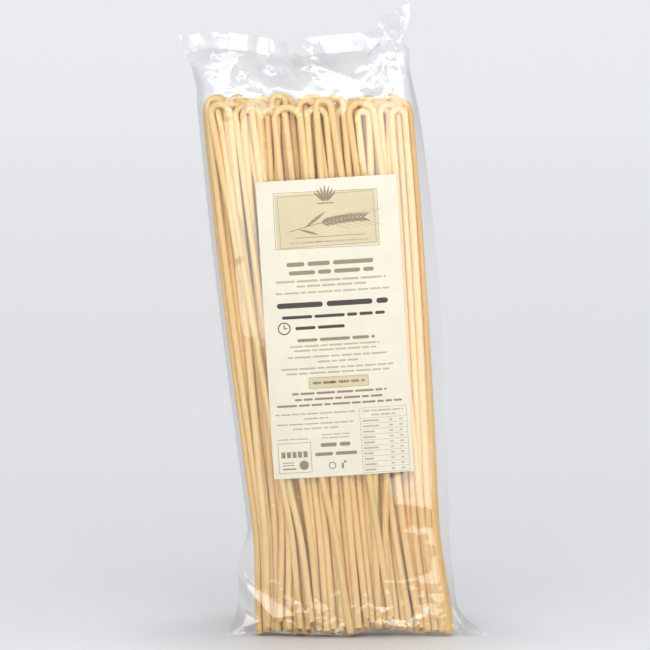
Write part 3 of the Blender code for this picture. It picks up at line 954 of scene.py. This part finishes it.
class Print:
    """Thin plates of one ink on the label, gathered into one piece."""

    def __init__(self):
        self.points, self.faces, self.total = [], [], 0

    def add(self, us, vs, shape=None, layer=0):
        base = PAPER_LIFT + PAPER_THICKNESS + layer * INK_LIFT
        points, faces = plate(us, vs, base, INK_LIFT, shape)
        self.points.append(points)
        self.faces += [tuple(self.total + v for v in face) for face in faces]
        self.total += len(points)

    def box(self, left, low, right, high, layer=0):
        """A filled rectangle."""
        across = max(int((right - left) / INK_STEP), 1) + 1
        up = max(int((high - low) / INK_STEP), 1) + 1
        self.add(np.linspace(left, right, across), np.linspace(low, high, up), layer=layer)

    def rule(self, start, end, width, layer=0):
        """A straight stroke from one point to another."""
        self.stroke([start, end], width, layer)

    def stroke(self, line, width, layer=0):
        """A stroke along a line, as wide at each of its points as width says."""
        line = np.asarray(line, dtype=float)
        length = length_along(line)
        steps = max(int(length[-1] / INK_STEP), len(line) - 1) + 1
        at = np.linspace(0, length[-1], steps)
        u, v = (np.interp(at, length, line[:, k]) for k in range(2))
        wide = np.interp(at, length, np.broadcast_to(width, len(line)))
        ahead = np.gradient(np.stack([u, v], axis=1), axis=0)
        ahead /= np.linalg.norm(ahead, axis=1)[:, None] + TINY

        def bend(share, side):
            column = np.rint(share * (steps - 1)).astype(int)
            offset = side * wide[column] / 2
            return u[column] - ahead[column, 1] * offset, v[column] + ahead[column, 0] * offset

        self.add(np.linspace(0, 1, steps), np.array([-1.0, 1.0]), bend, layer)

    def frame(self, left, low, right, high, width, turn=0.0, layer=0):
        """Four strokes round a rectangle, turned by this many degrees about its middle."""
        middle = np.array([(left + right) / 2, (low + high) / 2])
        corners = np.array([(left, low), (right, low), (right, high), (left, high)]) - middle
        c, s = math.cos(math.radians(turn)), math.sin(math.radians(turn))
        corners = corners @ np.array([[c, s], [-s, c]]) + middle
        for k in range(4):
            self.rule(corners[k], corners[(k + 1) % 4], width, layer)

    def ring(self, u, v, radius, width, layer=0):
        angle = np.linspace(0, 2 * math.pi, RING_STEPS)
        line = np.stack([u + radius * np.cos(angle), v + radius * np.sin(angle)], axis=1)
        self.stroke(line, width, layer)

    def words(self, middle, height, width, tall, draw):
        """Plain bars in the place of a line of print, as long as words are."""
        place, end = middle - width / 2, middle + width / 2
        half = tall * BAR_SHARE / 2
        while place < end - tall * BAR_REST:
            bar_end = min(place + int(draw.integers(*BAR_LETTERS)) * tall * BAR_STRETCH, end)
            self.bar(place, height - half, bar_end, height + half)
            place = bar_end + tall * BAR_GAP

    def bar(self, left, low, right, high, layer=0):
        """A bar with rounded ends."""
        radius = (high - low) / 2
        right = max(right, left + BAR_LEAST * radius)
        angle = np.linspace(CAP_START, math.pi / 2, CAP_STEPS)
        cap, reach = radius * (1 - np.cos(angle)), radius * np.sin(angle)
        steps = max(int((right - left) / INK_STEP), 1) + 2
        inner = np.linspace(left + radius, right - radius, steps)[1:-1]
        u = np.concatenate([left + cap, inner, right - cap[::-1]])
        reach = np.concatenate([reach, np.full(len(inner), radius), reach[::-1]])

        def bend(share, side):
            column = np.rint(share * (len(u) - 1)).astype(int)
            return u[column], (low + high) / 2 + side * reach[column]

        self.add(np.linspace(0, 1, len(u)), np.array([-1.0, 1.0]), bend, layer)

    def make(self, name, material, slot):
        return piece(name, np.vstack(self.points), self.faces, material, smooth=False)


def stalk(share):
    """A point of the wheat's stalk, which curves up to the right."""
    return STALK_LEFT + STALK_LENGTH * share, STALK_LOW + STALK_RISE * math.sin(STALK_BEND * share)


def leaf(prints, u, v, length, width, angle):
    """A pointed grain or leaf from its foot at u and v."""
    share = np.linspace(0, 1, 9)
    line = np.array([u, v]) + length * share[:, None] * np.array([math.cos(angle), math.sin(angle)])
    prints.stroke(line, width * np.sin(math.pi * np.clip(share, 0.02, 0.98)) ** 0.8, 1)


def add_wheat(prints):
    """A lying ear of wheat with two leaves, two rows of grains and long beards, and a small sheaf above."""
    prints.stroke([stalk(share) for share in np.linspace(0, 1, 14)], 0.35, 1)
    for k, share in enumerate(GRAIN_SHARES):
        u, v = stalk(share)
        for side in (-1, 1):
            leaf(prints, u, v, 4.6, 1.15, 0.10 + side * 0.50)
            if k % 2:
                prints.rule((u, v), (u + 12.5, v + side * 4.3), 0.14, 1)
    leaf(prints, -12.0, 50.8, 13.0, 1.5, 0.62)
    leaf(prints, -15.0, 50.2, 10.0, 1.2, -0.32)
    for k in range(-3, 4):
        leaf(prints, 0.35 * k - 1.1, 63.6, 8.2 - 0.5 * abs(k), 1.05, math.pi / 2 - 0.24 * k)


def add_table(entries, rules, draw):
    """A plain table with a head row, rules between its rows, and an entry and two figures as bars in each."""
    rules.frame(TABLE_LEFT, TABLE_LOW, TABLE_RIGHT, TABLE_TOP, 0.14)
    for k in range(TABLE_ROWS):
        height = TABLE_HEAD + k * (TABLE_LOW - TABLE_HEAD) / TABLE_ROWS
        rules.rule((TABLE_LEFT, height), (TABLE_RIGHT, height), 0.12)
        middle = height - 1.4
        entry = TABLE_LEFT + 1
        entries.box(entry, middle - 0.45, entry + draw.uniform(*TABLE_WORDS), middle + 0.45)
        for figure in (TABLE_RIGHT - 9, TABLE_RIGHT - 4):
            entries.box(figure, middle - 0.4, figure + 1.6, middle + 0.4)
    entries.words(21.3, -43.0, 20.0, 1.3, draw)
    entries.words(21.3, -45.1, 12.0, 1.3, draw)


def make_label(paper, inks):
    us = np.linspace(-LABEL_WIDTH / 2, LABEL_WIDTH / 2, LABEL_COLUMNS + 1) / MM
    vs = np.linspace(-LABEL_HEIGHT / 2, LABEL_HEIGHT / 2, LABEL_ROWS + 1) / MM
    points, faces = plate(us, vs, PAPER_LIFT, PAPER_THICKNESS)
    label = piece("label_paper", points, faces, paper)
    label.data.set_sharp_from_angle(angle=PAPER_SHARP)
    draw = np.random.default_rng(SEED)
    prints = {name: Print() for name in inks}
    for ink, *sizes in PRINT_BOXES:
        prints[ink].box(*sizes)
    for ink, *sizes in PRINT_FRAMES:
        prints[ink].frame(*sizes)
    for ink, *sizes in PRINT_RULES:
        prints[ink].rule(*sizes)
    for ink, *sizes in PRINT_RINGS:
        prints[ink].ring(*sizes)
    for k in range(STUBS):
        left = STUB_LEFT + STUB_PITCH * k
        prints["brown"].box(left, STUB_LOW, left + STUB_WIDE, STUB_LOW + STUB_TALL)
    for *sizes, ink in PRINT_LINES:
        prints[ink].words(*sizes, draw)
    add_wheat(prints["brown"])
    add_table(prints["pale"], prints["brown"], draw)
    made = [layers.make("print_" + name, inks[name], "print") for name, layers in prints.items()]
    return [label, *made]


# Materials


def new_material(name):
    """A material with its node tree emptied but for the output, its tree and that output."""
    material = bpy.data.materials.new(name)
    material.use_nodes = True
    tree = material.node_tree
    tree.nodes.clear()
    output = tree.nodes.new("ShaderNodeOutputMaterial")
    return material, tree, output


def node(tree, kind, **values):
    """A node of this kind with its inputs, or where it has no such input its properties, set."""
    made = tree.nodes.new(kind)
    for name, value in values.items():
        plain = name.replace("_", " ")
        socket = made.inputs.get(plain) or made.inputs.get(plain.title())
        if socket is not None:
            if hasattr(value, "is_output"):
                tree.links.new(value, socket)
            else:
                socket.default_value = value
        else:
            setattr(made, name, value)
    return made


def maths(tree, operation, *values):
    made = tree.nodes.new("ShaderNodeMath")
    made.operation = operation
    for socket, value in zip(made.inputs, values):
        if hasattr(value, "is_output"):
            tree.links.new(value, socket)
        else:
            socket.default_value = value
    return made.outputs[0]


def blend(tree, share, first, second):
    """A mix of two shaders, with this share of the second."""
    made = node(tree, "ShaderNodeMixShader", Fac=share)
    tree.links.new(first.outputs[0], made.inputs[1])
    tree.links.new(second.outputs[0], made.inputs[2])
    return made


def ramp(tree, factor, stops):
    made = tree.nodes.new("ShaderNodeValToRGB")
    tree.links.new(factor, made.inputs[0])
    elements = made.color_ramp.elements
    while len(elements) < len(stops):
        elements.new(0.5)
    for element, (place, colour) in zip(elements, stops):
        element.position = place
        element.color = (*colour, 1.0)
    return made.outputs[0]


def noise(tree, scale, stretch=(1, 1, 1), detail=2.0, roughness=0.5):
    """Noise over the object's own coordinates, with scale in features to the metre."""
    place = tree.nodes.new("ShaderNodeTexCoord").outputs["Object"]
    mapping = tree.nodes.new("ShaderNodeMapping")
    tree.links.new(place, mapping.inputs["Vector"])
    mapping.inputs["Scale"].default_value = stretch
    made = node(tree, "ShaderNodeTexNoise", Scale=scale, Detail=detail, Roughness=roughness)
    tree.links.new(mapping.outputs[0], made.inputs["Vector"])
    return made.outputs[0]


PASTA_DEEP = (0.90, 0.55, 0.18)
PASTA_PALE = (0.94, 0.68, 0.31)
PASTA_FLOUR = (0.96, 0.78, 0.47)


def pasta_material():
    material, tree, output = new_material("dry pasta")
    tone = node(tree, "ShaderNodeAttribute", attribute_name="tone").outputs["Fac"]
    broad = noise(tree, 45, (1, 1, 0.5), 1.0)
    paleness = maths(tree, "ADD", maths(tree, "MULTIPLY", tone, 0.45), maths(tree, "MULTIPLY", broad, 0.55))
    base = ramp(tree, paleness, ((0.15, PASTA_DEEP), (0.80, PASTA_PALE)))
    fine = noise(tree, 1700, detail=3.0, roughness=0.6)
    flour = ramp(tree, fine, ((0.42, (0, 0, 0)), (0.70, (1, 1, 1))))
    mixed = node(tree, "ShaderNodeMix", data_type="RGBA")
    tree.links.new(maths(tree, "MULTIPLY", flour, 0.35), mixed.inputs[0])
    tree.links.new(base, mixed.inputs[6])
    mixed.inputs[7].default_value = (*PASTA_FLOUR, 1.0)
    grain = noise(tree, 2600, (1, 1, 0.7), 2.0, 0.7)
    bump = node(tree, "ShaderNodeBump", Strength=0.30, Distance=0.00012, Height=grain)
    shader = node(tree, "ShaderNodeBsdfPrincipled", Base_Color=mixed.outputs[2], Roughness=0.62)
    shader.inputs["Specular IOR Level"].default_value = 0.35
    shader.inputs["Subsurface Weight"].default_value = 0.6
    shader.inputs["Subsurface Radius"].default_value = (1.0, 0.85, 0.70)
    shader.inputs["Subsurface Scale"].default_value = 0.0018
    tree.links.new(bump.outputs[0], shader.inputs["Normal"])
    tree.links.new(shader.outputs[0], output.inputs[0])
    return material


FILM_REFLECTANCE = 0.064
FILM_HAZE = 0.020
FILM_FACE_TINT = (1.0, 1.0, 1.0)
FILM_EDGE_TINT = (0.70, 0.695, 0.69)
FILM_TINT_START = 0.30
FILM_GRAZING = 0.9
FILM_GRAZING_POWER = 5.0


def film_material():
    """Clear film: faintly hazy, with a gloss and a depth of tint that grow towards grazing angles."""
    material, tree, output = new_material("clear film")
    facing = node(tree, "ShaderNodeLayerWeight", Blend=0.5).outputs["Facing"]
    grazing = maths(tree, "POWER", facing, FILM_GRAZING_POWER)
    gloss = maths(tree, "ADD", maths(tree, "MULTIPLY", grazing, FILM_GRAZING), FILM_REFLECTANCE)
    tint = ramp(tree, facing, ((FILM_TINT_START, FILM_FACE_TINT), (1.0, FILM_EDGE_TINT)))
    clear = node(tree, "ShaderNodeBsdfTransparent", Color=tint)
    mirror = node(tree, "ShaderNodeBsdfGlossy", Color=(0.97, 0.97, 0.97, 1.0), Roughness=0.035)
    haze = node(tree, "ShaderNodeBsdfDiffuse", Color=(0.93, 0.93, 0.93, 1.0))
    crinkle = noise(tree, 160, (1, 1, 0.6), 3.0, 0.55)
    bump = node(tree, "ShaderNodeBump", Strength=0.10, Distance=0.0004, Height=crinkle)
    tree.links.new(bump.outputs[0], mirror.inputs["Normal"])
    hazy = blend(tree, FILM_HAZE, clear, haze)
    mixed = blend(tree, gloss, hazy, mirror)
    tree.links.new(mixed.outputs[0], output.inputs[0])
    return material


PAPER_COLOUR = (0.84, 0.79, 0.64)
PAPER_VARIATION = 0.03
INK_COLOURS = {
    "field": (0.70, 0.60, 0.38),
    "gold": (0.52, 0.38, 0.14),
    "pale": (0.52, 0.45, 0.32),
    "brown": (0.30, 0.24, 0.15),
    "dark": (0.045, 0.038, 0.032),
}


def paper_material(name, colour):
    """Uncoated paper or ink on it: a faint mottle and fine tooth."""
    material, tree, output = new_material(name)
    mottle = noise(tree, 90, detail=4.0)
    dark, light = (tuple(c * way for c in colour) for way in (1 - PAPER_VARIATION, 1 + PAPER_VARIATION))
    base = ramp(tree, mottle, ((0.3, dark), (0.7, light)))
    tooth = noise(tree, 4000, detail=2.0)
    bump = node(tree, "ShaderNodeBump", Strength=0.12, Distance=0.00005, Height=tooth)
    shader = node(tree, "ShaderNodeBsdfPrincipled", Base_Color=base, Roughness=0.55)
    shader.inputs["Specular IOR Level"].default_value = 0.3
    tree.links.new(bump.outputs[0], shader.inputs["Normal"])
    tree.links.new(shader.outputs[0], output.inputs[0])
    return material


# Stage

CAMERA_DISTANCE = 2.40
CAMERA_LENS = 265.8
CAMERA_SENSOR = 36.0
CAMERA_CLIP = (0.05, 120.0)
CAMERA_ELEVATION = math.radians(5.0)
VIEW_CENTRE_PIXEL_X = 325.0
VIEW_CENTRE_PIXEL_Y = 324.0

# Softboxes: bearing from the camera's side of the pack, height of the middle, distance, width, height, the
# height they are aimed at, radiance for lighting and radiance for reflections
SOFTBOXES = (
    ("softbox_left", math.radians(-27), 0.47, 0.90, 0.55, 0.90, 0.47, 0.50, 2.7),
    ("softbox_right", math.radians(41), 0.47, 0.50, 0.56, 0.90, 0.47, 0.30, 3.3),
    ("softbox_front", math.radians(0), 0.66, 0.62, 0.75, 0.55, 0.15, 1.55, 4.2),
    ("softbox_fill", math.radians(0), 0.50, 0.45, 0.30, 0.20, 0.26, 3.2, 0.0),
)
REFLECTION_AHEAD = 0.02
WORLD_COLOUR = (0.95, 0.97, 1.0)
WORLD_STRENGTH = 0.29
WORLD_REFLECTION = 0.72
FLOOR_RADIUS = 60.0
FLOOR_SIDES = 96
FLOOR_COLOUR = (0.80, 0.81, 0.83)
GLOW_COLOUR = (0.965, 0.97, 1.0)

# Painted glow of the floor at distances from the pack, with distances across it shortened: it is off near the
# pack, which paints shade on the floor round its foot
FLOOR_GLOW_AND_SHADE = ((0.026, 0.0), (0.050, 0.08), (0.10, 0.26), (0.30, 0.34), (1.00, 0.43), (6.00, 0.50))
GLOW_AND_SHADE_NARROWING = (0.85, 1.0, 1.0)


def add_camera():
    camera = bpy.data.objects.new("camera", bpy.data.cameras.new("camera"))
    bpy.context.scene.collection.objects.link(camera)
    target = Vector((photo_x(VIEW_CENTRE_PIXEL_X) + SHIFT, 0.0, photo_z(VIEW_CENTRE_PIXEL_Y)))
    back = Vector((0.0, -math.cos(CAMERA_ELEVATION), math.sin(CAMERA_ELEVATION)))
    camera.location = target + back * CAMERA_DISTANCE
    camera.rotation_euler = (-back).to_track_quat("-Z", "Y").to_euler()
    camera.data.lens = CAMERA_LENS
    camera.data.sensor_width = CAMERA_SENSOR
    camera.data.clip_start, camera.data.clip_end = CAMERA_CLIP
    bpy.context.scene.camera = camera


def add_softbox(name, bearing, height, distance, width, tall, aim, lighting, reflection):
    """A rectangular softbox: one light for its lighting and one for its reflections."""
    for use, radiance, ahead in (("lighting", lighting, 0.0), ("reflection", reflection, REFLECTION_AHEAD)):
        if not radiance:
            continue
        data = bpy.data.lights.new(name + "_" + use, "AREA")
        data.shape = "RECTANGLE"
        data.size = width
        data.size_y = tall
        data.energy = radiance * math.pi * width * tall
        light = bpy.data.objects.new(name + "_" + use, data)
        bpy.context.scene.collection.objects.link(light)
        away = distance - ahead
        light.location = (away * math.sin(bearing), -away * math.cos(bearing), height)
        towards = Vector((0.0, 0.0, aim)) - light.location
        light.rotation_euler = towards.to_track_quat("-Z", "Y").to_euler()
        light.visible_glossy = use == "reflection"
        light.visible_diffuse = use == "lighting"


def add_floor():
    """A wide pale floor with a painted glow that evens it out away from the lights, and no glow near the
    pack, where the floor is painted darker as shade round its foot.
    """
    angles = 2 * math.pi * np.arange(FLOOR_SIDES) / FLOOR_SIDES
    points = [(FLOOR_RADIUS * math.cos(a), FLOOR_RADIUS * math.sin(a), 0.0) for a in angles]
    mesh = bpy.data.meshes.new("floor")
    mesh.from_pydata(points, [], [tuple(range(len(points)))])
    material, tree, output = new_material("floor")
    shader = node(tree, "ShaderNodeBsdfPrincipled", Base_Color=(*FLOOR_COLOUR, 1.0), Roughness=0.45)
    shader.inputs["Specular IOR Level"].default_value = 0.25
    shader.inputs["Emission Color"].default_value = (*GLOW_COLOUR, 1.0)
    place = tree.nodes.new("ShaderNodeTexCoord").outputs["Object"]
    narrowed = node(tree, "ShaderNodeMapping", Vector=place, Scale=GLOW_AND_SHADE_NARROWING).outputs[0]
    length = node(tree, "ShaderNodeVectorMath", operation="LENGTH", Vector=narrowed).outputs["Value"]
    # Painted glow by distance from the pack, off close to it so that the floor round its foot is painted
    # darker as shade
    reach = FLOOR_GLOW_AND_SHADE[-1][0]
    glow = ramp(tree, maths(tree, "DIVIDE", length, reach), [(r / reach, (g, g, g)) for r, g in FLOOR_GLOW_AND_SHADE])
    tree.links.new(glow, shader.inputs["Emission Strength"])
    tree.links.new(shader.outputs[0], output.inputs[0])
    mesh.materials.append(material)
    floor = bpy.data.objects.new("floor", mesh)
    bpy.context.scene.collection.objects.link(floor)


def add_world():
    world = bpy.data.worlds.new("studio")
    world.use_nodes = True
    background = world.node_tree.nodes["Background"]
    background.inputs["Color"].default_value = (*WORLD_COLOUR, 1.0)
    strength = node(world.node_tree, "ShaderNodeMapRange")
    strength.inputs["To Min"].default_value = WORLD_STRENGTH
    strength.inputs["To Max"].default_value = WORLD_REFLECTION
    glossy = world.node_tree.nodes.new("ShaderNodeLightPath").outputs["Is Glossy Ray"]
    world.node_tree.links.new(glossy, strength.inputs["Value"])
    world.node_tree.links.new(strength.outputs[0], background.inputs["Strength"])
    bpy.context.scene.world = world
    bpy.context.scene.view_settings.view_transform = "Standard"


add_camera()
add_world()
add_floor()
for sizes in SOFTBOXES:
    add_softbox(*sizes)

strands = make_strands(pasta_material())
film = make_film(film_material())
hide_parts("filled_bag")
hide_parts("filled_bag")
inks = {name: paper_material(name + " print", colour) for name, colour in INK_COLOURS.items()}
for part in make_label(paper_material("label paper", PAPER_COLOUR), inks):
    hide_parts("label")
